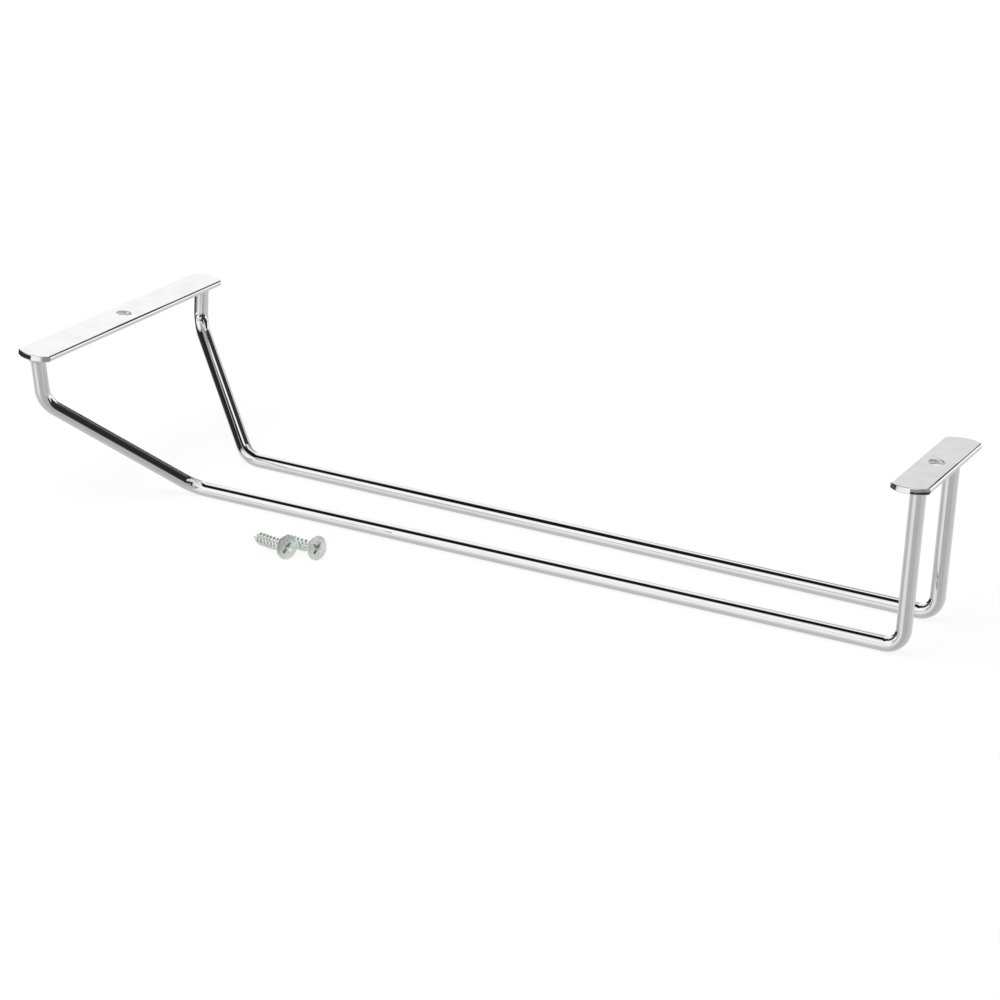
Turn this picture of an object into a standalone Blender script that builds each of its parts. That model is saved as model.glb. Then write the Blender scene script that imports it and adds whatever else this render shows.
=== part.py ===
"""Hanging wine glass rack: two bent wire rails welded under two flat mounting plates.

The rack stands on its rails, as if taken off the cupboard that it hangs under. +X runs from the
open mouth to the closed back, +Z is up, and the origin is on the floor below the rack's middle.
Lengths are in metres and angles in radians.
"""

import math

import bmesh
import bpy
from mathutils import Matrix, Vector

# Wire rails, measured along the wire's centre line
WIRE_DIAMETER = 0.0050
LEG_SPAN = 0.2920
MOUTH_LEG_SPACING = 0.1010
MOUTH_RAIL_SPACING = 0.0350
BACK_RAIL_SPACING = 0.0315
MOUTH_HEIGHT = 0.0500
BACK_HEIGHT = 0.0555
SHOULDER_DROP = 0.0176
FLARE_RUN = 0.0400
SHOULDER_RADIUS = 0.0120
FLARE_RADIUS = 0.0110
BACK_RADIUS = 0.0060
BEND_STEP_ANGLE = math.radians(7.5)
WIRE_BEVEL_RESOLUTION = 8

# Mounting plates
PLATE_WIDTH = 0.0127
PLATE_THICKNESS = 0.0020
PLATE_END_RISE = 0.0030
PLATE_END_STEPS = 14
PLATE_EDGE_RADIUS = 0.0003
PLATE_EDGE_SEGMENTS = 2
SHARP_EDGE_ANGLE = math.radians(60)
MOUTH_PLATE_OVERHANG = 0.0060
BACK_PLATE_OVERHANG = 0.0115
HOLE_STEPS = 40
HOLE_CLEARANCE = 0.0005
COUNTERSINK_DEPTH = 0.0010

# Weld beads
SEAT_GAP = 0.0003
WELD_HEIGHT = 0.0014
WELD_LEG = 0.0009
WELD_TOE = 0.0002
WELD_BEAD_STEPS = 6
WELD_TURN_STEPS = 32

# Mounting screws
SCREW_LENGTH = 0.0190
SCREW_THREAD_DIAMETER = 0.0042
SCREW_NECK_DIAMETER = 0.0031
SCREW_NECK_LENGTH = 0.0010
SCREW_SHOULDER_LENGTH = 0.0006
SCREW_POINT_LENGTH = 0.0042
SCREW_HEAD_DIAMETER = 0.0080
SCREW_HEAD_RIM = 0.0003
SCREW_HEAD_SLOPE = math.radians(45)
SCREW_TURN_STEPS = 32
RECESS_DEPTH = 0.0019
RECESS_WIDTH = 0.0044
RECESS_TIP_WIDTH = 0.0016
RECESS_SLOT = 0.0010

# Where the loose pair of screws lies, in line with the right end of the mouth plate
SCREW_PAIR_GAP = 0.0015
SCREW_STAGGER = 0.0060
SCREW_PLATE_END_INSET = 0.0006
SCREW_FLARE_CLEARANCE = 0.0560
SCREW_HEADING = math.radians(-22)

# Modelling
CUT_OVERRUN = 0.0010
WELD_DISTANCE = 0.000001

# Worked out from the sizes above
WIRE_RADIUS = WIRE_DIAMETER / 2
FALL = math.atan2(BACK_HEIGHT - MOUTH_HEIGHT, LEG_SPAN)
MOUTH_X = -LEG_SPAN / 2
BACK_X = LEG_SPAN / 2
MIDDLE_HEIGHT = WIRE_RADIUS + (MOUTH_HEIGHT + BACK_HEIGHT) / 2
SCREW_THREAD_RADIUS = SCREW_THREAD_DIAMETER / 2
SCREW_HEAD_RADIUS = SCREW_HEAD_DIAMETER / 2
LEFT = 1
RIGHT = -1


def clear_scene():
    """Remove every object, so that the rack is built in an empty scene."""
    for item in list(bpy.data.objects):
        bpy.data.objects.remove(item, do_unlink=True)


def new_collection(name):
    """A collection linked to the scene."""
    collection = bpy.data.collections.new(name)
    bpy.context.scene.collection.children.link(collection)
    return collection


def metal(name, colour, roughness):
    """A bare or plated metal."""
    material = bpy.data.materials.new(name)
    material.use_nodes = True
    shader = material.node_tree.nodes["Principled BSDF"]
    shader.inputs["Base Color"].default_value = (*colour, 1)
    shader.inputs["Metallic"].default_value = 1
    shader.inputs["Roughness"].default_value = roughness
    material.diffuse_color = (*colour, 1)
    return material


def chrome(name):
    """Bright chrome plate."""
    return metal(name, (0.80, 0.80, 0.81), 0.05)


def weld_metal(name):
    """Chrome over the slightly rough surface of a weld."""
    return metal(name, (0.74, 0.74, 0.75), 0.18)


def zinc(name):
    """Clear zinc plate on a steel screw."""
    return metal(name, (0.70, 0.73, 0.71), 0.34)


def add_object(name, data, collection, material=None):
    """An object in a collection, with its own material."""
    item = bpy.data.objects.new(name, data)
    collection.objects.link(item)
    if material is not None:
        data.materials.append(material)
    return item


def add_empty(name, collection, location, rotation):
    """An empty that places what is parented to it."""
    empty = add_object(name, None, collection)
    empty.location = location
    empty.rotation_euler = rotation
    return empty


def hide_cutter(item):
    """Show a cutter as wire only."""
    item.hide_render = True
    item.display_type = "WIRE"


def cut(target, cutter):
    """Take a cutter's shape out of a piece."""
    boolean = target.modifiers.new(cutter.name, "BOOLEAN")
    boolean.operation = "DIFFERENCE"
    boolean.object = cutter


def mesh_from_curve(curve_object, collection):
    """Mesh object in the place of a curve object, with the caps welded to the sides."""
    graph = bpy.context.evaluated_depsgraph_get()
    mesh = bpy.data.meshes.new_from_object(curve_object.evaluated_get(graph))
    name = curve_object.name
    matrix = curve_object.matrix_world.copy()
    bpy.data.objects.remove(curve_object, do_unlink=True)
    shape = bmesh.new()
    shape.from_mesh(mesh)
    bmesh.ops.remove_doubles(shape, verts=shape.verts, dist=WELD_DISTANCE)
    bmesh.ops.recalc_face_normals(shape, faces=shape.faces)
    shape.to_mesh(mesh)
    shape.free()
    item = add_object(name, mesh, collection)
    item.matrix_world = matrix
    return item


def turned(name, profile, closed, steps, collection, material=None):
    """Solid of revolution about Z from a profile of (radius, height) points, top first."""
    mesh = bpy.data.meshes.new(name)
    points = [(radius, 0, height) for radius, height in profile]
    edges = [(index, index + 1) for index in range(len(points) - 1)]
    if closed:
        edges.append((len(points) - 1, 0))
    mesh.from_pydata(points, edges, [])
    item = add_object(name, mesh, collection, material)
    turn = item.modifiers.new("turn", "SCREW")
    turn.axis = "Z"
    turn.angle = math.tau
    turn.steps = steps
    turn.render_steps = steps
    turn.use_merge_vertices = True
    turn.merge_threshold = WELD_DISTANCE
    turn.use_smooth_shade = True
    return item


def plate_top(x):
    """Height of the plane of the plates' top faces above a place along the rack."""
    return MIDDLE_HEIGHT + x * math.tan(FALL)


def wire_end(x):
    """Height of the top end of an upright leg, a seat gap below the sloping plate."""
    vertical_stack = (PLATE_THICKNESS + SEAT_GAP) / math.cos(FALL)
    return plate_top(x) - vertical_stack - WIRE_RADIUS * math.tan(FALL)


def place_under_plane(x, y, depth):
    """Local place, on the mounting plane's empty, that lies at a depth below the plane."""
    along = (x - depth * math.sin(FALL)) / math.cos(FALL)
    return Vector((along, y, -depth))


def bend(before, corner, after, radius):
    """Points of the arc that rounds a corner of the wire at a radius."""
    arriving = (corner - before).normalized()
    leaving = (after - corner).normalized()
    angle = arriving.angle(leaving)
    start = corner - arriving * radius * math.tan(angle / 2)
    inward = (leaving - arriving * arriving.dot(leaving)).normalized()
    steps = max(2, round(angle / BEND_STEP_ANGLE))
    points = []
    for step in range(steps + 1):
        turned_by = angle * step / steps
        ahead = arriving * radius * math.sin(turned_by)
        aside = inward * radius * (1 - math.cos(turned_by))
        points.append(start + ahead + aside)
    return points


def rail_path(side):
    """Centre line of one rail, from its mouth leg over the flare and along to its back leg."""
    mouth_y = side * MOUTH_LEG_SPACING / 2
    flare_y = side * MOUTH_RAIL_SPACING / 2
    back_y = side * BACK_RAIL_SPACING / 2
    mouth_top = Vector((MOUTH_X, mouth_y, wire_end(MOUTH_X)))
    shoulder = Vector((MOUTH_X, mouth_y, plate_top(MOUTH_X) - SHOULDER_DROP))
    flare_foot = Vector((MOUTH_X + FLARE_RUN, flare_y, WIRE_RADIUS))
    back_foot = Vector((BACK_X, back_y, WIRE_RADIUS))
    back_top = Vector((BACK_X, back_y, wire_end(BACK_X)))
    path = [mouth_top]
    path += bend(mouth_top, shoulder, flare_foot, SHOULDER_RADIUS)
    path += bend(shoulder, flare_foot, back_foot, FLARE_RADIUS)
    path += bend(flare_foot, back_foot, back_top, BACK_RADIUS)
    path.append(back_top)
    return path


def build_rail(name, side, collection):
    """One rail, a single length of round wire."""
    path = rail_path(side)
    curve = bpy.data.curves.new(name, "CURVE")
    curve.dimensions = "3D"
    curve.bevel_depth = WIRE_RADIUS
    curve.bevel_resolution = WIRE_BEVEL_RESOLUTION
    curve.use_fill_caps = True
    spline = curve.splines.new("POLY")
    spline.points.add(len(path) - 1)
    for point, place in zip(spline.points, path):
        point.co = (*place, 1)
    spline.use_smooth = True
    return add_object(name, curve, collection, chrome(name))


def plate_outline(length):
    """Corners and shallow end arcs of a flat bar that lies along Y."""
    radius = PLATE_WIDTH ** 2 / (8 * PLATE_END_RISE) + PLATE_END_RISE / 2
    half_angle = math.asin(PLATE_WIDTH / 2 / radius)
    centre = length / 2 - radius
    end = []
    for step in range(PLATE_END_STEPS + 1):
        angle = half_angle * (2 * step / PLATE_END_STEPS - 1)
        end.append((radius * math.sin(angle), centre + radius * math.cos(angle)))
    opposite_end = [(-x, -y) for x, y in end]
    return end + opposite_end


def hole_profile():
    """Screw hole that opens into a countersink at the plate's underside, for a cutter."""
    hole = SCREW_THREAD_RADIUS + HOLE_CLEARANCE
    seat = PLATE_THICKNESS - COUNTERSINK_DEPTH
    bottom = PLATE_THICKNESS + CUT_OVERRUN
    wide = hole + (bottom - seat) * math.tan(SCREW_HEAD_SLOPE)
    return [(0, CUT_OVERRUN), (hole, CUT_OVERRUN), (hole, -seat), (wide, -bottom), (0, -bottom)]


def build_plate(name, length, x, plane, collection, cutters):
    """One flat plate with rounded edges, arc ends and a countersunk hole in its middle."""
    curve = bpy.data.curves.new(name, "CURVE")
    curve.dimensions = "2D"
    curve.fill_mode = "BOTH"
    curve.extrude = PLATE_THICKNESS / 2
    outline = plate_outline(length)
    spline = curve.splines.new("POLY")
    spline.points.add(len(outline) - 1)
    for point, place in zip(spline.points, outline):
        point.co = (*place, 0, 1)
    spline.use_cyclic_u = True
    plate = mesh_from_curve(add_object(name, curve, collection), collection)
    plate.data.materials.clear()
    plate.data.materials.append(chrome(name))
    plate.parent = plane
    plate.location = place_under_plane(x, 0, PLATE_THICKNESS / 2)
    edge = plate.modifiers.new("rounded edge", "BEVEL")
    edge.width = PLATE_EDGE_RADIUS
    edge.segments = PLATE_EDGE_SEGMENTS
    edge.limit_method = "ANGLE"
    edge.angle_limit = SHARP_EDGE_ANGLE
    hole = turned(name + "_hole", hole_profile(), False, HOLE_STEPS, cutters)
    hole.parent = plane
    hole.location = place_under_plane(x, 0, 0)
    hide_cutter(hole)
    cut(plate, hole)
    return plate


def weld_profile():
    """Closed section of a bead that swells out of the wire and meets the plate above it."""
    inner = WIRE_RADIUS + SEAT_GAP
    outer = inner + WELD_TOE + WELD_LEG
    profile = []
    for step in range(WELD_BEAD_STEPS + 1):
        angle = math.pi / 2 * step / WELD_BEAD_STEPS
        radius = outer - WELD_LEG * (1 - math.cos(angle))
        profile.append((radius, -WELD_HEIGHT * math.sin(angle)))
    profile.append((inner, -WELD_HEIGHT))
    profile.append((inner, 0))
    return profile


def build_weld(name, x, y, plane, collection):
    """Weld bead round the top of one leg."""
    bead = turned(name, weld_profile(), True, WELD_TURN_STEPS, collection, weld_metal(name))
    bead.parent = plane
    bead.location = place_under_plane(x, y, PLATE_THICKNESS + SEAT_GAP)
    return bead


def screw_profile():
    """Countersunk head, neck, the thread's outer size and the point."""
    neck = SCREW_NECK_DIAMETER / 2
    head_bottom = SCREW_HEAD_RIM + (SCREW_HEAD_RADIUS - neck) / math.tan(SCREW_HEAD_SLOPE)
    thread_start = head_bottom + SCREW_NECK_LENGTH
    return [
        (0, 0),
        (SCREW_HEAD_RADIUS, 0),
        (SCREW_HEAD_RADIUS, -SCREW_HEAD_RIM),
        (neck, -head_bottom),
        (neck, -thread_start),
        (SCREW_THREAD_RADIUS, -thread_start - SCREW_SHOULDER_LENGTH),
        (SCREW_THREAD_RADIUS, SCREW_POINT_LENGTH - SCREW_LENGTH),
        (0, -SCREW_LENGTH),
    ]


def recess_blade(name, collection):
    """Cutter for one slot of the cross recess, which narrows towards its bottom."""
    mesh = bpy.data.meshes.new(name)
    shape = bmesh.new()
    bmesh.ops.create_cube(shape, size=1)
    narrowing = (RECESS_WIDTH - RECESS_TIP_WIDTH) / RECESS_DEPTH
    for vertex in shape.verts:
        top = vertex.co.z > 0
        width = RECESS_WIDTH + narrowing * CUT_OVERRUN if top else RECESS_TIP_WIDTH
        vertex.co.x *= width
        vertex.co.y *= RECESS_SLOT
        vertex.co.z = CUT_OVERRUN if top else -RECESS_DEPTH
    shape.to_mesh(mesh)
    shape.free()
    blade = add_object(name, mesh, collection)
    hide_cutter(blade)
    return blade


def build_screw(name, place, turn, tilt, pair, collection, cutters):
    """One countersunk wood screw with a cross recess, lying on its head's rim and thread."""
    screw = turned(name, screw_profile(), False, SCREW_TURN_STEPS, collection, zinc(name))
    screw.parent = pair
    screw.location = place
    screw.rotation_euler = (0, math.pi / 2 - tilt, turn)
    for number, angle in enumerate((math.radians(45), math.radians(135)), 1):
        blade = recess_blade(f"{name}_slot_{number}", cutters)
        blade.parent = screw
        blade.matrix_local = Matrix.Rotation(angle, 4, "Z")
        cut(screw, blade)
    return screw


def build_screws(collection, cutters):
    """The pair of screws on the floor, side by side with one head ahead of the other."""
    crest = SCREW_LENGTH - SCREW_POINT_LENGTH
    tilt = math.atan2(SCREW_HEAD_RADIUS - SCREW_THREAD_RADIUS, crest - SCREW_HEAD_RIM)
    height = SCREW_HEAD_RADIUS * math.cos(tilt) + SCREW_HEAD_RIM * math.sin(tilt)
    head_spread = SCREW_HEAD_RADIUS + SCREW_THREAD_RADIUS + SCREW_PAIR_GAP
    tip_spread = SCREW_THREAD_DIAMETER + SCREW_PAIR_GAP
    turn = math.asin((head_spread - tip_spread) / (SCREW_LENGTH * math.cos(tilt))) / 2
    plate_end = MOUTH_LEG_SPACING / 2 + MOUTH_PLATE_OVERHANG
    pair_x = MOUTH_X + FLARE_RUN + SCREW_FLARE_CLEARANCE
    pair_y = SCREW_PLATE_END_INSET + SCREW_HEAD_RADIUS - plate_end
    pair = add_empty("screw_pair", collection, (pair_x, pair_y, 0), (0, 0, SCREW_HEADING))
    near_place = (0, 0, height)
    far_place = (SCREW_STAGGER, head_spread, height)
    build_screw("mouth_screw", near_place, -turn, tilt, pair, collection, cutters)
    build_screw("back_screw", far_place, turn, tilt, pair, collection, cutters)


def build_rack():
    """The whole rack with its screws."""
    clear_scene()
    rack = new_collection("wine_glass_rack")
    cutters = new_collection("cutters")
    plane = add_empty("mounting_plane", rack, (0, 0, MIDDLE_HEIGHT), (0, -FALL, 0))
    mouth_length = MOUTH_LEG_SPACING + 2 * MOUTH_PLATE_OVERHANG
    back_length = BACK_RAIL_SPACING + 2 * BACK_PLATE_OVERHANG
    build_plate("mouth_plate", mouth_length, MOUTH_X, plane, rack, cutters)
    build_plate("back_plate", back_length, BACK_X, plane, rack, cutters)
    for name, side in (("left", LEFT), ("right", RIGHT)):
        build_rail(name + "_rail", side, rack)
        build_weld(f"mouth_weld_{name}", MOUTH_X, side * MOUTH_LEG_SPACING / 2, plane, rack)
        build_weld(f"back_weld_{name}", BACK_X, side * BACK_RAIL_SPACING / 2, plane, rack)
    build_screws(rack, cutters)


build_rack()
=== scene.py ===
"""Looks of the hanging wine glass rack: chromed wire rails, two flat plates and two loose screws.

Lengths are in metres. +X runs from the open mouth to the closed back and +Z is up.
"""

import math

import bmesh
import bpy
from mathutils import Matrix, Vector


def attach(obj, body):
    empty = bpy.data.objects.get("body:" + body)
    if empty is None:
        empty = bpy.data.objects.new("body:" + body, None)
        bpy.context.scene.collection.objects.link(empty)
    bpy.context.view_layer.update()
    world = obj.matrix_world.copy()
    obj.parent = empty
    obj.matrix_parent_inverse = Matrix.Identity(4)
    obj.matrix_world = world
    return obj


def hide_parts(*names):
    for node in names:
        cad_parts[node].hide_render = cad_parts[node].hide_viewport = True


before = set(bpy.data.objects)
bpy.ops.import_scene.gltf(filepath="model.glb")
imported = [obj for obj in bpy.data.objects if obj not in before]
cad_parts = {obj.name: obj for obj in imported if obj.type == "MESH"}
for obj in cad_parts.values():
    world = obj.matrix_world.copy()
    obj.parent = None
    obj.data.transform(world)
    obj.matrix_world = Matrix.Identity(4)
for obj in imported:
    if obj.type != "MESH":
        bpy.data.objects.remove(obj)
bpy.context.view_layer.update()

# Sizes of the rack, as in the solids
WIRE_DIAMETER = 0.0050
LEG_SPAN = 0.2920
MOUTH_LEG_SPACING = 0.1010
MOUTH_RAIL_SPACING = 0.0350
BACK_RAIL_SPACING = 0.0315
MOUTH_HEIGHT = 0.0500
BACK_HEIGHT = 0.0555
SHOULDER_DROP = 0.0176
FLARE_RUN = 0.0400
FLARE_RADIUS = 0.0110
BACK_RADIUS = 0.0060
PLATE_WIDTH = 0.0127
PLATE_THICKNESS = 0.0020
PLATE_END_RISE = 0.0030
MOUTH_PLATE_OVERHANG = 0.0060
BACK_PLATE_OVERHANG = 0.0115
HOLE_DIAMETER = 0.0052
COUNTERSINK_DEPTH = 0.0010
SCREW_LENGTH = 0.0190
SCREW_THREAD_DIAMETER = 0.0042
SCREW_NECK_DIAMETER = 0.0031
SCREW_NECK_LENGTH = 0.0010
SCREW_SHOULDER_LENGTH = 0.0006
SCREW_POINT_LENGTH = 0.0042
SCREW_HEAD_DIAMETER = 0.0080
SCREW_HEAD_RIM = 0.0003
RECESS_DEPTH = 0.0019
RECESS_WIDTH = 0.0044
RECESS_TIP_WIDTH = 0.0016
RECESS_SLOT = 0.0010
SCREW_PAIR_GAP = 0.0015
SCREW_STAGGER = 0.0060
SCREW_PLATE_END_INSET = 0.0006
SCREW_FLARE_CLEARANCE = 0.0560
SCREW_HEADING = math.radians(-22)

# Finer shapes that only the looks have
WIRE_SIDES = 56
SHOULDER_RADIUS = 0.0095
RIGHT_LEG_SPREAD = 0.0015
RIGHT_SHOULDER_SHIFT = 0.025
BEND_STEP = math.radians(3)
FEWEST_BEND_STEPS = 2
STRIP_EDGE_ROUNDING = 0.00095
STRIP_EDGE_STEPS = 10
SHEARED_EDGE_ROUNDING = 0.00025
SHEARED_EDGE_STEPS = 5
MOUTH_SHEAR = (0.08, 0.08)
BACK_SHEAR = (0.052, 0.14)
MOUTH_PLATE_ROLL = math.radians(4.5)
BACK_PLATE_ROLL = 0
END_ARC_STEPS = 36
HOLE_EDGE_ROUNDING = 0.00034
HOLE_EDGE_STEPS = 8
HOLE_TURN_STEPS = 64
LEVEL_NORMAL = 0.9999
FLAT_BORDER = 0.00006
WELD_TURN_STEPS = 64
WELD_SWELL = 0.22
THREAD_PITCH = 0.0019
THREAD_CORE_RADIUS = 0.00143
THREAD_STEPS_PER_TURN = 30
SPARE_THREAD_TURNS = 2
THREAD_OVERLAP = 0.0001
NECK_OVERLAP = 0.0003
HEAD_TURN_STEPS = 72
RECESS_ANGLES = (math.radians(45), math.radians(135))
RECESS_EDGE = 0.00005
RECESS_EDGE_STEPS = 2
RECESS_EDGE_ANGLE = math.radians(40)
CUTTER_OVERRUN = 0.0005
SAME_PLACE = 0.0000005
CREASE_ANGLE = math.radians(38)
PLATE_CREASE_ANGLE = math.radians(24)

# Widths of the recess's blades and of the pyramid in their middle, as shares of the slot's width
BLADE_TOP = 1.04
BLADE_TIP = 0.86
PYRAMID_TOP = 1.15
PYRAMID_TIP = 0.35

# Worked out from the sizes
WIRE_RADIUS = WIRE_DIAMETER / 2
FALL = math.atan2(BACK_HEIGHT - MOUTH_HEIGHT, LEG_SPAN)
MOUTH_X = -LEG_SPAN / 2
BACK_X = LEG_SPAN / 2
MIDDLE_HEIGHT = WIRE_RADIUS + (MOUTH_HEIGHT + BACK_HEIGHT) / 2
MOUNTING_PLANE = Matrix.Translation((0, 0, MIDDLE_HEIGHT)) @ Matrix.Rotation(-FALL, 4, "Y")
HOLE_RADIUS = HOLE_DIAMETER / 2
HOLE_REACH = HOLE_RADIUS + 1.5 * COUNTERSINK_DEPTH
BROAD_FACE_AREA = PLATE_WIDTH ** 2 / 50
THREAD_RADIUS = SCREW_THREAD_DIAMETER / 2
HEAD_RADIUS = SCREW_HEAD_DIAMETER / 2
NECK_RADIUS = SCREW_NECK_DIAMETER / 2
HEAD_BOTTOM = SCREW_HEAD_RIM + HEAD_RADIUS - NECK_RADIUS
THREAD_START = HEAD_BOTTOM + SCREW_NECK_LENGTH
THREAD_TOP = -THREAD_START - THREAD_OVERLAP
THREAD_RUN_IN = 1.6 * SCREW_SHOULDER_LENGTH
POINT_START = SCREW_POINT_LENGTH - SCREW_LENGTH

# Outline of a weld bead: radius, and height above the plate's underside
WELD_OUTLINE = (
    (WIRE_RADIUS - 0.00010, -0.00150),
    (WIRE_RADIUS + 0.00008, -0.00146),
    (WIRE_RADIUS + 0.00030, -0.00132),
    (WIRE_RADIUS + 0.00052, -0.00108),
    (WIRE_RADIUS + 0.00066, -0.00078),
    (WIRE_RADIUS + 0.00074, -0.00046),
    (WIRE_RADIUS + 0.00092, -0.00020),
    (WIRE_RADIUS + 0.00122, -0.00004),
    (WIRE_RADIUS + 0.00126, 0.00004),
    (WIRE_RADIUS - 0.00010, 0.00004),
)

# Lumps round a bead: share of the swell, number in a turn, and turn for each metre along and across
WELD_LUMPS = (
    (0.5, 3, 40, 0),
    (0.3, 5, 0, 90),
    (0.2, 11, 0, 0),
)

# Outline of a screw's head and neck, from the middle of its face: radius and height
HEAD_OUTLINE = (
    (0, 0),
    (HEAD_RADIUS - 0.00016, 0),
    (HEAD_RADIUS - 0.00006, -0.00003),
    (HEAD_RADIUS, -0.00012),
    (HEAD_RADIUS, -SCREW_HEAD_RIM + 0.00004),
    (HEAD_RADIUS - 0.00008, -SCREW_HEAD_RIM - 0.00006),
    (NECK_RADIUS + 0.00050, -HEAD_BOTTOM + 0.00050),
    (NECK_RADIUS + 0.00014, -HEAD_BOTTOM + 0.00008),
    (NECK_RADIUS, -HEAD_BOTTOM - 0.00025),
    (NECK_RADIUS, -THREAD_START),
    (THREAD_CORE_RADIUS - 0.00010, -THREAD_START - NECK_OVERLAP),
    (0, -THREAD_START - NECK_OVERLAP),
)

# Outline of one turn of the thread: radius, and share of the pitch
THREAD_OUTLINE = (
    (THREAD_CORE_RADIUS, 0),
    (THREAD_CORE_RADIUS, 0.40),
    (THREAD_CORE_RADIUS + 0.00006, 0.50),
    (THREAD_CORE_RADIUS + 0.00022, 0.58),
    (THREAD_RADIUS - 0.00004, 0.72),
    (THREAD_RADIUS, 0.745),
    (THREAD_RADIUS, 0.775),
    (THREAD_RADIUS - 0.00004, 0.80),
    (THREAD_CORE_RADIUS + 0.00022, 0.90),
    (THREAD_CORE_RADIUS + 0.00005, 0.96),
    (THREAD_CORE_RADIUS, 1),
)

# Camera, fitted to the photograph
CAMERA_PLACE = (0.41234, -0.86856, 0.37219)
CAMERA_AZIMUTH = -0.443313
CAMERA_ELEVATION = -0.355956
CAMERA_ROLL = 0.054898
CAMERA_LENS = 112.846
CAMERA_FILM = 36
CAMERA_NEAREST = 0.05
CAMERA_FARTHEST = 50

# Lamp, floor and backdrop
KEY_STRENGTH = 1.3
KEY_SPREAD = math.radians(35)
KEY_PLACE = (-0.5, -0.8, 1.5)
KEY_AIM = (0.25, 0.35, -1)
FLOOR_REACH = 6
FLOOR_DROP = 0.00002
FLOOR_TONE = 0.14
FLOOR_GLOW = 0.87
ROOM_LIGHT = 0.6
WHITE = (1, 1, 1, 1)

# The studio that the metal shows: a floor and a wall that meet softly at the horizon, and panels.
# Each panel has its centre and half width round the compass, its bottom and top above the horizon,
# the turn of its centre for each degree upwards and the softness of its edges, all in degrees, and
# then its brightness as seen in metal of the chrome's tone. A later panel covers an earlier one.
CHROME_TONE = 0.72
FLOOR_BRIGHTNESS = 0.50
WALL_BRIGHTNESS = 0.68
FLOOR_EDGE = -14
WALL_EDGE = 2
STUDIO_PANELS = (
    (-76, 32, -40, -18, 0, 6, 0.60),
    (34, 30, -40, -18, 0, 8, 0.60),
    (142, 32, -95, -14.5, 0, 1.5, 0.42),
    (-108, 13, -40, -15.5, 0, 1.5, 0.45),
    (-154, 22, -40, 4, 0, 9, 0.72),
    (-48, 22, 8, 60, 0, 5, 0.90),
    (-27, 9, -16, 9, 0, 3, 0.98),
    (-21, 5, -8, 28, 0, 2, 0.68),
    (50, 40, 0, 34, 0, 3, 0.94),
    (38, 12, -15.5, -3, 0, 2, 0.50),
    (-166, 54, -16, 12, 0, 1.2, 0.88),
    (-172, 42, 8, 45, 0, 6, 0.93),
    (-60, 120, 68, 95, 0, 4, 0.92),
    (-45, 55, 73, 80, 0, 1.5, 0.02),
    (81.2, 25.4, 3, 58, -1.43, 3, 0.02),
    (124.7, 9, -13, 6, -0.57, 3, 0.02),
    (133, 51, -8, 4, 0, 1.5, 0.03),
    (66, 24, 8, 46, 0, 3, 0.03),
    (140, 44, -15.2, -12.2, 0, 0.5, 0.25),
    (155.6, 12, 10, 38, -2.6, 2, 0.03),
    (-139, 5, -4, 3, 0, 1.5, 0.03),
    (147, 5, -6, 52, -0.55, 2, 0.06),
    (134, 13, 8, 46, 0, 3, 0.04),
    (1, 26, 27, 40, 0, 2, 0.02),
    (2.5, 8.5, 20.5, 27.5, 0, 2, 0.02),
    (-11, 5, -9, 6, 0, 2, 0.05),
    (20, 11, 39, 81, 0, 2, 0.03),
    (6, 16, 76, 84, 0, 1.5, 0.03),
    (50, 14, 36, 47, 0, 2, 0.03),
    (-104, 15, -6, 44, -0.35, 3, 0.018),
    (-78, 28, -17.6, 8, 0, 0.6, 0.03),
    (-130.5, 24.5, -12.5, -9, 0, 0.8, 0.03),
    (-126, 21, -17.7, -16.5, 0, 0.4, 0.12),
    (-115, 31.5, 40.5, 67, 0, 1.5, 0.008),
    (-94, 48, 64.5, 74, 0, 1.5, 0.008),
    (-66, 17, 62.8, 74, 0, 1, 0.008),
)
PANEL_MEASURES = ("Centre", "Half width", "Bottom", "Top", "Lean", "Softness")


def plate_top(x):
    """Height of the plane of the plates' top faces above a place along the rack."""
    return MIDDLE_HEIGHT + x * math.tan(FALL)


def plate_place(x, y, depth, roll):
    """Matrix of a place in the plate at x, which may be rolled a little about its outer long edge.

    The place is y across the rack and some depth below the top face, plumb under its place there.
    """
    outer_edge = Matrix.Translation((math.copysign(PLATE_WIDTH / 2, x), 0, 0))
    rolled = outer_edge @ Matrix.Rotation(roll, 4, "Y") @ outer_edge.inverted()
    middle = MOUNTING_PLANE @ Matrix.Translation((x / math.cos(FALL), 0, 0))
    return middle @ rolled @ Matrix.Translation((depth * math.tan(roll - FALL), y, -depth))


def in_scene(name, data):
    """A new object in the scene, with this data."""
    item = bpy.data.objects.new(name, data)
    bpy.context.scene.collection.objects.link(item)
    return item


def from_shape(name, shape):
    """A new object in the scene, from a bmesh that isn't needed any more."""
    mesh = bpy.data.meshes.new(name)
    shape.to_mesh(mesh)
    shape.free()
    return in_scene(name, mesh)


def finished_piece(shape, name, finish, node, crease=CREASE_ANGLE):
    """A piece of the rack from a bmesh, in place of the solid of that node."""
    bmesh.ops.remove_doubles(shape, verts=shape.verts, dist=SAME_PLACE)
    bmesh.ops.recalc_face_normals(shape, faces=shape.faces)
    for face in shape.faces:
        face.smooth = True
    for edge in shape.edges:
        if len(edge.link_faces) == 2 and edge.calc_face_angle() > crease:
            edge.smooth = False
    piece = from_shape(name, shape)
    piece.data.materials.append(finish)
    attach(piece, "root")
    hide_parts(node)


def moved(shape, verts, matrix):
    """Move vertices by a matrix."""
    bmesh.ops.transform(shape, matrix=matrix, verts=verts)


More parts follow.
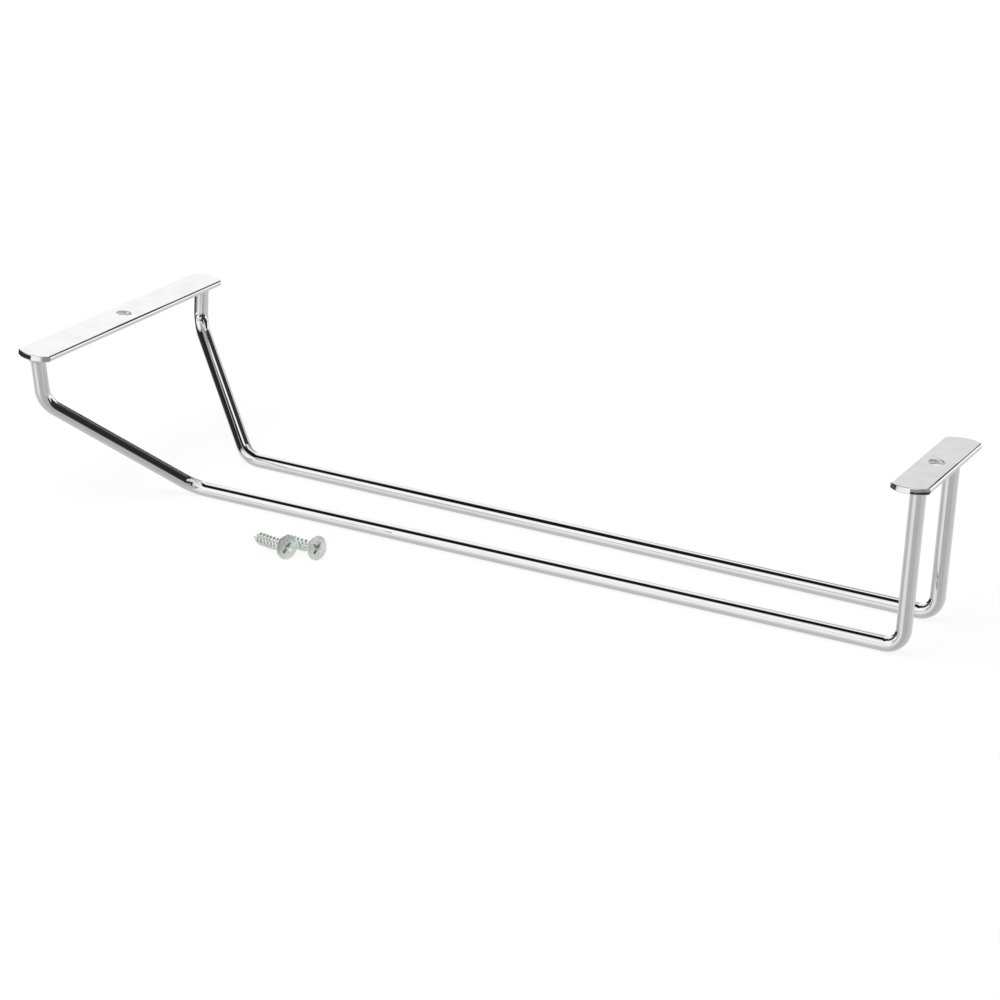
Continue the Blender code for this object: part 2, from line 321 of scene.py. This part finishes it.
def drawn_on(shape, edges, step):
    """Extrude an open ring of edges by a step, and give the new ring."""
    made = bmesh.ops.extrude_edge_only(shape, edges=edges)["geom"]
    verts = [part for part in made if isinstance(part, bmesh.types.BMVert)]
    moved(shape, verts, Matrix.Translation(step))
    fresh = set(verts)
    return [
        part
        for part in made
        if isinstance(part, bmesh.types.BMEdge) and all(vert in fresh for vert in part.verts)
    ]


def spun_on(shape, edges, centre, axis, angle):
    """Carry an open ring of edges round a bend, and give the new ring."""
    verts = list(dict.fromkeys(vert for edge in edges for vert in edge.verts))
    made = bmesh.ops.spin(
        shape,
        geom=verts + edges,
        cent=centre,
        axis=axis,
        angle=angle,
        steps=max(FEWEST_BEND_STEPS, round(angle / BEND_STEP)),
    )["geom_last"]
    return [part for part in made if isinstance(part, bmesh.types.BMEdge)]


def lathe(shape, outline, steps, closed=False):
    """Spin an outline of (radius, height) points into a turned shape, or into a ring if closed."""
    verts = [shape.verts.new((radius, 0, height)) for radius, height in outline]
    following = verts[1:] + verts[:1] if closed else verts[1:]
    edges = [shape.edges.new(pair) for pair in zip(verts, following)]
    bmesh.ops.spin(
        shape,
        geom=verts + edges,
        cent=(0, 0, 0),
        axis=(0, 0, 1),
        angle=math.tau,
        steps=steps,
        use_merge=True,
    )
    bmesh.ops.remove_doubles(shape, verts=shape.verts, dist=SAME_PLACE)
    bmesh.ops.recalc_face_normals(shape, faces=shape.faces)


def cut_away(blank, cutters, softness=0):
    """Mesh of a blank less its cutters, with the cut's sharp edges softened if asked."""
    items = []
    for number, shape in enumerate((blank, *cutters)):
        bmesh.ops.recalc_face_normals(shape, faces=shape.faces)
        items.append(from_shape(f"cut_{number}", shape))
    for cutter in items[1:]:
        cut = items[0].modifiers.new(cutter.name, "BOOLEAN")
        cut.operation = "DIFFERENCE"
        cut.solver = "EXACT"
        cut.object = cutter
    if softness:
        soften = items[0].modifiers.new("soft_edges", "BEVEL")
        soften.width = softness
        soften.segments = RECESS_EDGE_STEPS
        soften.limit_method = "ANGLE"
        soften.angle_limit = RECESS_EDGE_ANGLE
    graph = bpy.context.evaluated_depsgraph_get()
    result = bpy.data.meshes.new_from_object(items[0].evaluated_get(graph))
    for item in items:
        bpy.data.objects.remove(item, do_unlink=True)
    return result


def rail_corners(side):
    """Corners of a rail's centre line before its bends are rounded.

    The right rail's mouth leg leans out a little, as it does in the photograph.
    """
    mouth_y = side * MOUTH_LEG_SPACING / 2
    flare_y = side * MOUTH_RAIL_SPACING / 2
    back_y = side * BACK_RAIL_SPACING / 2
    under_plate = PLATE_THICKNESS / math.cos(FALL)
    leg_top = Vector((MOUTH_X, mouth_y, plate_top(MOUTH_X) - under_plate))
    shoulder = Vector((MOUTH_X, mouth_y, plate_top(MOUTH_X) - SHOULDER_DROP))
    flare = Vector((MOUTH_X + FLARE_RUN, flare_y, WIRE_RADIUS))
    if side < 0:
        leg_top.y -= RIGHT_LEG_SPREAD
        shoulder = shoulder.lerp(flare, RIGHT_SHOULDER_SHIFT)
    return (
        leg_top,
        shoulder,
        flare,
        Vector((BACK_X, back_y, WIRE_RADIUS)),
        Vector((BACK_X, back_y, plate_top(BACK_X) - under_plate)),
    )


def bent_wire(side):
    """Round wire drawn along straight runs and spun round the bends between them."""
    shape = bmesh.new()
    corners = rail_corners(side)
    bmesh.ops.create_circle(shape, cap_ends=True, radius=WIRE_RADIUS, segments=WIRE_SIDES)
    ring = shape.edges[:]
    place = corners[0]
    moved(shape, shape.verts, Matrix.Translation(place))
    for number, radius in enumerate((SHOULDER_RADIUS, FLARE_RADIUS, BACK_RADIUS), 1):
        corner = corners[number]
        arriving = (corner - corners[number - 1]).normalized()
        leaving = (corners[number + 1] - corner).normalized()
        turn = arriving.angle(leaving)
        reach = radius * math.tan(turn / 2)
        bend_start = corner - arriving * reach
        axis = arriving.cross(leaving).normalized()
        ring = drawn_on(shape, ring, bend_start - place)
        ring = spun_on(shape, ring, bend_start + axis.cross(arriving) * radius, axis, turn)
        place = corner + leaving * reach
    ring = drawn_on(shape, ring, corners[-1] - place)
    bmesh.ops.contextual_create(shape, geom=ring)
    return shape


def edge_levels(shear):
    """Height, and inset of the long edges and of the sheared ends, down the side of a strip.

    The shear gives the slope of the upper and of the lower half of its cut.
    """
    upper_slope, lower_slope = shear
    long_edge = (STRIP_EDGE_ROUNDING, STRIP_EDGE_STEPS)
    sheared_edge = (SHEARED_EDGE_ROUNDING, SHEARED_EDGE_STEPS)
    depths = {PLATE_THICKNESS / 2}
    for radius, steps in (long_edge, sheared_edge):
        for step in range(steps + 1):
            depths.add(radius * (1 - math.cos(math.pi / 2 * step / steps)))
    levels = []
    for depth in sorted(depths):
        insets = []
        for radius in (STRIP_EDGE_ROUNDING, SHEARED_EDGE_ROUNDING):
            rise = max(0, radius - depth)
            insets.append(radius - math.sqrt(radius ** 2 - rise ** 2))
        levels.append((PLATE_THICKNESS / 2 - depth, *insets))
    levels += [(-height, side, end) for height, side, end in reversed(levels[:-1])]
    sheared = []
    for height, side_inset, end_inset in levels:
        below_middle = min(PLATE_THICKNESS / 2, height + PLATE_THICKNESS / 2)
        lean = upper_slope * max(0, height) + lower_slope * below_middle
        sheared.append((height, side_inset, end_inset + lean))
    return sheared


def rolled_strip(length, shear):
    """Strip with round long edges and both ends sheared to an arc, from a stack of outlines.

    It starts as a grid from -1 to 1, which runs round the outline in x and down the stack in y.
    """
    levels = edge_levels(shear)
    around = 2 * (END_ARC_STEPS + 1)
    half_width = PLATE_WIDTH / 2
    end_radius = half_width ** 2 / (2 * PLATE_END_RISE) + PLATE_END_RISE / 2
    shape = bmesh.new()
    bmesh.ops.create_grid(shape, x_segments=around, y_segments=len(levels) - 1, size=1)
    for vert in shape.verts:
        place = round((vert.co.x + 1) / 2 * around) % around
        height, side_inset, end_inset = levels[round((vert.co.y + 1) / 2 * (len(levels) - 1))]
        far_end, step = divmod(place, END_ARC_STEPS + 1)
        radius = end_radius - end_inset
        widest = math.asin((half_width - side_inset) / radius)
        angle = widest * (1 - 2 * step / END_ARC_STEPS)
        across = radius * math.sin(angle)
        along = length / 2 - end_radius + radius * math.cos(angle)
        facing = -1 if far_end else 1
        vert.co = (facing * across, facing * along, height - PLATE_THICKNESS / 2)
    bmesh.ops.remove_doubles(shape, verts=shape.verts, dist=SAME_PLACE)
    bmesh.ops.holes_fill(shape, edges=[edge for edge in shape.edges if edge.is_boundary], sides=0)
    return shape


def hole_edges(shape):
    """Sharp edges of the screw hole and its countersink."""
    return [
        edge
        for edge in shape.edges
        if all(vert.co.xy.length < HOLE_REACH for vert in edge.verts)
        and edge.calc_face_angle(0) > CREASE_ANGLE
    ]


def flat_plate(length, x, shear, roll):
    """Sheared length of strip with a countersunk hole, hanging from the mounting plane."""
    seat = COUNTERSINK_DEPTH - PLATE_THICKNESS
    cutter = bmesh.new()
    lathe(
        cutter,
        (
            (0, CUTTER_OVERRUN),
            (HOLE_RADIUS, CUTTER_OVERRUN),
            (HOLE_RADIUS, seat),
            (HOLE_RADIUS + COUNTERSINK_DEPTH + CUTTER_OVERRUN, -PLATE_THICKNESS - CUTTER_OVERRUN),
            (0, -PLATE_THICKNESS - CUTTER_OVERRUN),
        ),
        HOLE_TURN_STEPS,
    )
    shape = bmesh.new()
    shape.from_mesh(cut_away(rolled_strip(length, shear), [cutter]))
    bmesh.ops.bevel(
        shape,
        geom=hole_edges(shape),
        offset=HOLE_EDGE_ROUNDING,
        offset_type="OFFSET",
        segments=HOLE_EDGE_STEPS,
        profile=0.5,
        affect="EDGES",
        material=-1,
        clamp_overlap=True,
        loop_slide=True,
    )
    bmesh.ops.recalc_face_normals(shape, faces=shape.faces)
    broad = [
        face
        for face in shape.faces
        if abs(face.normal.z) > LEVEL_NORMAL and face.calc_area() > BROAD_FACE_AREA
    ]
    bmesh.ops.inset_region(shape, faces=broad, thickness=FLAT_BORDER, depth=0, use_even_offset=True)
    moved(shape, shape.verts, plate_place(x, 0, 0, roll))
    return shape


def weld_bead(x, y, lean, roll):
    """Squeezed-out ring of weld metal where a leg, which may lean, meets the plate above it."""
    shape = bmesh.new()
    lathe(shape, WELD_OUTLINE, WELD_TURN_STEPS, closed=True)
    for vert in shape.verts:
        angle = math.atan2(vert.co.y, vert.co.x)
        lumps = 0
        for share, count, turn_along, turn_across in WELD_LUMPS:
            lumps += share * math.sin(count * angle + turn_along * x + turn_across * y)
        swell = max(0, vert.co.xy.length - WIRE_RADIUS) * WELD_SWELL * lumps
        vert.co.xy += vert.co.xy.normalized() * swell
        vert.co.xy += lean * vert.co.z
    moved(shape, shape.verts, plate_place(x, y, PLATE_THICKNESS, roll))
    return shape


def recess_cutters():
    """Two tapered blades and a short pyramid that cut the cross recess."""
    cutters = []
    growth = (RECESS_WIDTH - RECESS_TIP_WIDTH) / RECESS_DEPTH * CUTTER_OVERRUN
    for angle in RECESS_ANGLES:
        shape = bmesh.new()
        bmesh.ops.create_cube(shape, size=1)
        for vert in shape.verts:
            top = vert.co.z > 0
            vert.co.x *= RECESS_WIDTH + growth if top else RECESS_TIP_WIDTH
            vert.co.y *= RECESS_SLOT * (BLADE_TOP if top else BLADE_TIP)
            vert.co.z = CUTTER_OVERRUN if top else -RECESS_DEPTH
        moved(shape, shape.verts, Matrix.Rotation(angle, 4, "Z"))
        cutters.append(shape)
    shape = bmesh.new()
    bmesh.ops.create_cone(
        shape,
        cap_ends=True,
        segments=4,
        radius1=RECESS_SLOT * PYRAMID_TIP,
        radius2=RECESS_SLOT * PYRAMID_TOP,
        depth=RECESS_DEPTH + CUTTER_OVERRUN,
    )
    moved(shape, shape.verts, Matrix.Translation((0, 0, (CUTTER_OVERRUN - RECESS_DEPTH) / 2)))
    cutters.append(shape)
    return cutters


def screw_head():
    """Mesh of the countersunk head and neck with its cross recess."""
    shape = bmesh.new()
    lathe(shape, HEAD_OUTLINE, HEAD_TURN_STEPS)
    return cut_away(shape, recess_cutters(), RECESS_EDGE)


def screw_thread(shape):
    """Coarse thread wound down the core to a gimlet point."""
    turns = math.ceil((SCREW_LENGTH - THREAD_START) / THREAD_PITCH) + SPARE_THREAD_TURNS
    verts = [
        shape.verts.new((radius, 0, share * THREAD_PITCH - SCREW_LENGTH - THREAD_PITCH))
        for radius, share in THREAD_OUTLINE
    ]
    edges = [shape.edges.new(pair) for pair in zip(verts, verts[1:])]
    bmesh.ops.spin(
        shape,
        geom=verts + edges,
        cent=(0, 0, 0),
        axis=(0, 0, 1),
        dvec=(0, 0, THREAD_PITCH / THREAD_STEPS_PER_TURN),
        angle=math.tau * turns,
        steps=turns * THREAD_STEPS_PER_TURN,
    )
    bmesh.ops.remove_doubles(shape, verts=shape.verts, dist=SAME_PLACE)
    bmesh.ops.bisect_plane(
        shape,
        geom=shape.verts[:] + shape.edges[:] + shape.faces[:],
        plane_co=(0, 0, THREAD_TOP),
        plane_no=(0, 0, 1),
        clear_outer=True,
    )
    rim = [
        edge
        for edge in shape.edges
        if edge.is_boundary and all(vert.co.z > THREAD_TOP - SAME_PLACE for vert in edge.verts)
    ]
    bmesh.ops.holes_fill(shape, edges=rim, sides=0)
    for vert in shape.verts:
        radius = vert.co.xy.length
        if radius < SAME_PLACE:
            continue
        ridge = max(0, radius - THREAD_CORE_RADIUS)
        run_in = min(1, max(0, (THREAD_TOP - vert.co.z) / THREAD_RUN_IN))
        taper = min(1, max(0, (POINT_START - vert.co.z) / SCREW_POINT_LENGTH))
        ridge = ridge * run_in * (1 - taper ** 2) * math.sqrt(1 - taper)
        vert.co.xy *= (THREAD_CORE_RADIUS * (1 - taper) + ridge) / radius
        vert.co.z = max(vert.co.z, -SCREW_LENGTH)
    bmesh.ops.remove_doubles(shape, verts=shape.verts, dist=SAME_PLACE)


def wood_screw(place):
    """One countersunk wood screw at its place beside the rack."""
    shape = bmesh.new()
    screw_thread(shape)
    shape.from_mesh(screw_head())
    moved(shape, shape.verts, place)
    return shape


def screw_places():
    """Matrices of the two screws, which lie on the rim of the head and the thread's crests."""
    last_crest = SCREW_LENGTH - SCREW_POINT_LENGTH
    tilt = math.atan2(HEAD_RADIUS - THREAD_RADIUS, last_crest - SCREW_HEAD_RIM)
    height = HEAD_RADIUS * math.cos(tilt) + SCREW_HEAD_RIM * math.sin(tilt)
    head_spread = HEAD_RADIUS + THREAD_RADIUS + SCREW_PAIR_GAP
    tip_spread = SCREW_THREAD_DIAMETER + SCREW_PAIR_GAP
    turn = math.asin((head_spread - tip_spread) / (SCREW_LENGTH * math.cos(tilt))) / 2
    plate_end = MOUTH_LEG_SPACING / 2 + MOUTH_PLATE_OVERHANG
    pair_x = MOUTH_X + FLARE_RUN + SCREW_FLARE_CLEARANCE
    pair_y = SCREW_PLATE_END_INSET + HEAD_RADIUS - plate_end
    pair = Matrix.Translation((pair_x, pair_y, 0)) @ Matrix.Rotation(SCREW_HEADING, 4, "Z")
    lying = Matrix.Rotation(math.pi / 2 - tilt, 4, "Y")
    near = Matrix.Translation((0, 0, height)) @ Matrix.Rotation(-turn, 4, "Z")
    far = Matrix.Translation((SCREW_STAGGER, head_spread, height)) @ Matrix.Rotation(turn, 4, "Z")
    return pair @ (near @ lying), pair @ (far @ lying)


def feed(tree, value, socket):
    """Link another socket's value to a socket, or set a plain value on it."""
    if isinstance(value, bpy.types.NodeSocket):
        tree.links.new(value, socket)
    else:
        socket.default_value = value


def new_group(name, inputs, outputs):
    """An empty node group with named sockets, and its input and output nodes."""
    group = bpy.data.node_groups.new(name, "ShaderNodeTree")
    for labels, in_out in ((inputs, "INPUT"), (outputs, "OUTPUT")):
        for label, kind in labels:
            group.interface.new_socket(label, in_out=in_out, socket_type=kind)
    start = group.nodes.new("NodeGroupInput")
    end = group.nodes.new("NodeGroupOutput")
    return group, start, end


def placed_group(tree, group, values):
    """A group's node in a tree, with its inputs fed."""
    node = tree.nodes.new("ShaderNodeGroup")
    node.node_tree = group
    for label, value in values.items():
        feed(tree, value, node.inputs[label])
    return node.outputs


def sum_node(tree, operation, *values):
    """What a Math node makes of some sockets or numbers."""
    node = tree.nodes.new("ShaderNodeMath")
    node.operation = operation
    for value, socket in zip(values, node.inputs):
        feed(tree, value, socket)
    return node.outputs[0]


def ramp_between(tree, value, start, stop, low=0, high=1):
    """A smooth step of a value, from low where it starts to high where it stops."""
    node = tree.nodes.new("ShaderNodeMapRange")
    node.interpolation_type = "SMOOTHSTEP"
    feed(tree, value, node.inputs["Value"])
    feed(tree, start, node.inputs["From Min"])
    feed(tree, stop, node.inputs["From Max"])
    feed(tree, low, node.inputs["To Min"])
    feed(tree, high, node.inputs["To Max"])
    return node.outputs["Result"]


def blend_of(tree, kind, share, first, second):
    """A blend of two numbers or two colours, by the second one's share."""
    node = tree.nodes.new("ShaderNodeMix")
    node.data_type = kind
    feed(tree, share, node.inputs["Factor"])
    feed(tree, first, node.inputs["A"])
    feed(tree, second, node.inputs["B"])
    return node.outputs["Result"]


def noise(tree, place, scale, detail, roughness=0.5):
    """Smooth noise over the places that a socket gives."""
    node = tree.nodes.new("ShaderNodeTexNoise")
    feed(tree, place, node.inputs["Vector"])
    feed(tree, scale, node.inputs["Scale"])
    feed(tree, detail, node.inputs["Detail"])
    feed(tree, roughness, node.inputs["Roughness"])
    return node.outputs["Fac"]


def studio_panel_group():
    """Group that tells how much of a soft-edged studio panel lies in a direction."""
    number = "NodeSocketFloat"
    labels = ("Azimuth", "Elevation", *PANEL_MEASURES)
    inputs = [(label, number) for label in labels]
    group, start, end = new_group("studio_panel", inputs, [("Mask", number)])
    azimuth, elevation, centre, half_width, bottom, top, lean, softness = start.outputs[:8]
    middle = sum_node(group, "MULTIPLY", sum_node(group, "ADD", bottom, top), 0.5)
    height = sum_node(group, "SUBTRACT", elevation, middle)
    leaning = sum_node(group, "ADD", centre, sum_node(group, "MULTIPLY", height, lean))
    offset = sum_node(group, "SUBTRACT", azimuth, leaning)
    away = sum_node(group, "ABSOLUTE", sum_node(group, "WRAP", offset, 180, -180))
    sideways = ramp_between(
        group,
        away,
        sum_node(group, "ADD", half_width, softness),
        sum_node(group, "SUBTRACT", half_width, softness),
    )
    above = ramp_between(
        group,
        elevation,
        sum_node(group, "SUBTRACT", bottom, softness),
        sum_node(group, "ADD", bottom, softness),
    )
    below = ramp_between(
        group,
        elevation,
        sum_node(group, "ADD", top, softness),
        sum_node(group, "SUBTRACT", top, softness),
    )
    upright = sum_node(group, "MULTIPLY", above, below)
    feed(group, sum_node(group, "MULTIPLY", sideways, upright), end.inputs["Mask"])
    return group


def studio_in_metal(tree):
    """Brightness of the studio in each direction, as the chrome shows it."""
    coordinates = tree.nodes.new("ShaderNodeTexCoord")
    parts = tree.nodes.new("ShaderNodeSeparateXYZ")
    feed(tree, coordinates.outputs["Generated"], parts.inputs[0])
    across, along, up = parts.outputs[:3]
    azimuth = sum_node(tree, "DEGREES", sum_node(tree, "ARCTAN2", across, along))
    elevation = sum_node(tree, "DEGREES", sum_node(tree, "ARCSINE", up))
    brightness = ramp_between(
        tree, elevation, FLOOR_EDGE, WALL_EDGE, FLOOR_BRIGHTNESS, WALL_BRIGHTNESS
    )
    panel = studio_panel_group()
    for *measures, seen in STUDIO_PANELS:
        values = dict(zip(PANEL_MEASURES, measures), Azimuth=azimuth, Elevation=elevation)
        mask = placed_group(tree, panel, values)["Mask"]
        brightness = blend_of(tree, "FLOAT", mask, brightness, seen)
    return brightness


def white_light(tree, strength):
    """White light from the world."""
    node = tree.nodes.new("ShaderNodeBackground")
    node.inputs["Color"].default_value = WHITE
    feed(tree, strength, node.inputs["Strength"])
    return node.outputs[0]


def light_by_ray(tree, kind, others, chosen):
    """The chosen light for one kind of ray, and another light for all others."""
    node = tree.nodes.new("ShaderNodeMixShader")
    feed(tree, kind, node.inputs["Fac"])
    feed(tree, others, node.inputs[1])
    feed(tree, chosen, node.inputs[2])
    return node.outputs[0]


def light_the_studio():
    """World: white behind the rack, and for the metal a studio of soft boxes and black cards."""
    world = bpy.data.worlds.new("studio")
    bpy.context.scene.world = world
    world.use_nodes = True
    tree = world.node_tree
    tree.nodes.clear()
    ray = tree.nodes.new("ShaderNodeLightPath")
    room = white_light(tree, ROOM_LIGHT)
    brightness = sum_node(tree, "MULTIPLY", studio_in_metal(tree), 1 / CHROME_TONE)
    studio = white_light(tree, brightness)
    backdrop = white_light(tree, 1)
    lit = light_by_ray(tree, ray.outputs["Is Glossy Ray"], room, studio)
    seen = light_by_ray(tree, ray.outputs["Is Camera Ray"], lit, backdrop)
    output = tree.nodes.new("ShaderNodeOutputWorld")
    feed(tree, seen, output.inputs["Surface"])


def hang_key_light():
    """A broad soft light from above the camera's left, which throws the faint shadow."""
    light = bpy.data.lights.new("key", "SUN")
    light.energy = KEY_STRENGTH
    light.angle = KEY_SPREAD
    lamp = in_scene("key", light)
    lamp.location = KEY_PLACE
    lamp.rotation_euler = Vector(KEY_AIM).to_track_quat("-Z", "Y").to_euler()
    lamp.visible_glossy = False


def lay_floor():
    """A plain pale floor under the rack that keeps its shadow."""
    shape = bmesh.new()
    bmesh.ops.create_grid(shape, x_segments=1, y_segments=1, size=FLOOR_REACH)
    floor = from_shape("floor", shape)
    floor.location.z = -FLOOR_DROP
    material = bpy.data.materials.new("pale_floor")
    material.use_nodes = True
    tree = material.node_tree
    tree.nodes.clear()
    matt = tree.nodes.new("ShaderNodeBsdfDiffuse")
    matt.inputs["Color"].default_value = (FLOOR_TONE, FLOOR_TONE, FLOOR_TONE, 1)
    glow = tree.nodes.new("ShaderNodeEmission")
    glow.inputs["Color"].default_value = WHITE
    ray = tree.nodes.new("ShaderNodeLightPath")
    seen = sum_node(tree, "MAXIMUM", ray.outputs["Is Camera Ray"], ray.outputs["Is Glossy Ray"])
    seen = sum_node(tree, "MAXIMUM", seen, ray.outputs["Is Transmission Ray"])
    feed(tree, sum_node(tree, "MULTIPLY", seen, FLOOR_GLOW), glow.inputs["Strength"])
    both = tree.nodes.new("ShaderNodeAddShader")
    feed(tree, matt.outputs[0], both.inputs[0])
    feed(tree, glow.outputs[0], both.inputs[1])
    output = tree.nodes.new("ShaderNodeOutputMaterial")
    feed(tree, both.outputs[0], output.inputs["Surface"])
    floor.data.materials.append(material)
    floor.visible_glossy = False


def set_camera():
    """Camera at the photograph's place, with its slight roll."""
    flat = math.cos(CAMERA_ELEVATION)
    ahead = Vector(
        (
            flat * math.sin(CAMERA_AZIMUTH),
            flat * math.cos(CAMERA_AZIMUTH),
            math.sin(CAMERA_ELEVATION),
        )
    )
    level = ahead.cross(Vector((0, 0, 1))).normalized()
    upright = level.cross(ahead)
    right = level * math.cos(CAMERA_ROLL) + upright * math.sin(CAMERA_ROLL)
    top = right.cross(ahead)
    data = bpy.data.cameras.new("camera")
    data.lens = CAMERA_LENS
    data.sensor_width = CAMERA_FILM
    data.clip_start = CAMERA_NEAREST
    data.clip_end = CAMERA_FARTHEST
    camera = in_scene("camera", data)
    turned = Matrix((right, top, -ahead)).transposed().to_4x4()
    camera.matrix_world = Matrix.Translation(CAMERA_PLACE) @ turned
    bpy.context.scene.camera = camera


def plated_metal_group():
    """Group for plated metal: faint clouding of its tone, haze, fine marks and a slight ripple."""
    vector = "NodeSocketVector"
    colour = "NodeSocketColor"
    number = "NodeSocketFloat"
    inputs = [
        ("Vector", vector),
        ("Marks vector", vector),
        ("Tone", colour),
        ("Clouded tone", colour),
        ("Smooth", number),
        ("Hazy", number),
        ("Ripple", number),
        ("Marks", number),
    ]
    outputs = [("Colour", colour), ("Roughness", number), ("Height", number)]
    group, start, end = new_group("plated_metal", inputs, outputs)
    place, marks_place, tone, clouded, smooth, hazy, ripple, marks = start.outputs[:8]
    clouds = noise(group, place, scale=140, detail=4, roughness=0.6)
    patch = ramp_between(group, clouds, start=0.42, stop=0.72)
    swell = noise(group, place, scale=90, detail=1)
    scored = sum_node(group, "MULTIPLY", noise(group, marks_place, scale=1, detail=3), marks)
    haze = sum_node(group, "ADD", patch, scored)
    rippled = sum_node(group, "MULTIPLY", swell, ripple)
    feed(group, blend_of(group, "RGBA", patch, tone, clouded), end.inputs["Colour"])
    feed(group, blend_of(group, "FLOAT", haze, smooth, hazy), end.inputs["Roughness"])
    feed(group, sum_node(group, "ADD", rippled, scored), end.inputs["Height"])
    return group


def plated_material(name, group, marks_scale, tone, clouded, smooth, hazy, ripple, marks, depth):
    """A plated metal whose fine marks run the way that its scale is stretched."""
    material = bpy.data.materials.new(name)
    material.use_nodes = True
    tree = material.node_tree
    shader = tree.nodes["Principled BSDF"]
    shader.inputs["Metallic"].default_value = 1
    place = tree.nodes.new("ShaderNodeTexCoord").outputs["Object"]
    stretch = tree.nodes.new("ShaderNodeMapping")
    stretch.inputs["Scale"].default_value = marks_scale
    feed(tree, place, stretch.inputs["Vector"])
    values = {
        "Vector": place,
        "Marks vector": stretch.outputs["Vector"],
        "Tone": (*tone, 1),
        "Clouded tone": (*clouded, 1),
        "Smooth": smooth,
        "Hazy": hazy,
        "Ripple": ripple,
        "Marks": marks,
    }
    metal = placed_group(tree, group, values)
    bump = tree.nodes.new("ShaderNodeBump")
    bump.inputs["Strength"].default_value = 1
    bump.inputs["Distance"].default_value = depth
    feed(tree, metal["Height"], bump.inputs["Height"])
    feed(tree, metal["Colour"], shader.inputs["Base Color"])
    feed(tree, metal["Roughness"], shader.inputs["Roughness"])
    feed(tree, bump.outputs["Normal"], shader.inputs["Normal"])
    return material


def make_finishes():
    """Chrome for the wires and plates, chrome over welds, and clear zinc for the screws."""
    group = plated_metal_group()
    bright = (CHROME_TONE, CHROME_TONE, CHROME_TONE)
    return {
        "wire": plated_material(
            "chromed_wire",
            group,
            marks_scale=(30, 1500, 1500),
            tone=bright,
            clouded=(0.70, 0.70, 0.70),
            smooth=0.02,
            hazy=0.06,
            ripple=1.0,
            marks=0.15,
            depth=0.000003,
        ),
        "plate": plated_material(
            "chromed_strip",
            group,
            marks_scale=(2200, 60, 300),
            tone=bright,
            clouded=(0.66, 0.66, 0.66),
            smooth=0.02,
            hazy=0.07,
            ripple=1.0,
            marks=0.2,
            depth=0.000003,
        ),
        "weld": plated_material(
            "chromed_weld",
            group,
            marks_scale=(900, 900, 900),
            tone=(0.68, 0.68, 0.68),
            clouded=(0.60, 0.60, 0.60),
            smooth=0.08,
            hazy=0.22,
            ripple=1.0,
            marks=1.0,
            depth=0.00003,
        ),
        "screw": plated_material(
            "clear_zinc",
            group,
            marks_scale=(1200, 1200, 1200),
            tone=(0.94, 0.98, 0.94),
            clouded=(0.80, 0.85, 0.80),
            smooth=0.24,
            hazy=0.46,
            ripple=0.6,
            marks=0.8,
            depth=0.00001,
        ),
    }


def dress_rack():
    """Every piece of the rack, each in place of its solid."""
    finishes = make_finishes()
    for name, side in (("left", 1), ("right", -1)):
        finished_piece(bent_wire(side), f"{name}_wire", finishes["wire"], f"{name}_rail")
        corners = rail_corners(side)
        for end, top, bend, roll in (
            ("mouth", corners[0], corners[1], MOUTH_PLATE_ROLL),
            ("back", corners[-1], corners[-2], BACK_PLATE_ROLL),
        ):
            lean = (top - bend).xy / (top - bend).z
            bead = weld_bead(top.x, top.y, lean, roll)
            finished_piece(bead, f"{end}_bead_{name}", finishes["weld"], f"{end}_weld_{name}")
    mouth_length = MOUTH_LEG_SPACING + 2 * MOUTH_PLATE_OVERHANG
    back_length = BACK_RAIL_SPACING + 2 * BACK_PLATE_OVERHANG
    for name, length, x, shear, roll in (
        ("mouth", mouth_length, MOUTH_X, MOUTH_SHEAR, MOUTH_PLATE_ROLL),
        ("back", back_length, BACK_X, BACK_SHEAR, BACK_PLATE_ROLL),
    ):
        strip = flat_plate(length, x, shear, roll)
        finished_piece(strip, f"{name}_strip", finishes["plate"], f"{name}_plate", PLATE_CREASE_ANGLE)
    for name, place in zip(("mouth", "back"), screw_places()):
        finished_piece(wood_screw(place), f"{name}_wood_screw", finishes["screw"], f"{name}_screw")


dress_rack()
lay_floor()
light_the_studio()
hang_key_light()
set_camera()
bpy.context.scene.view_settings.view_transform = "Standard"
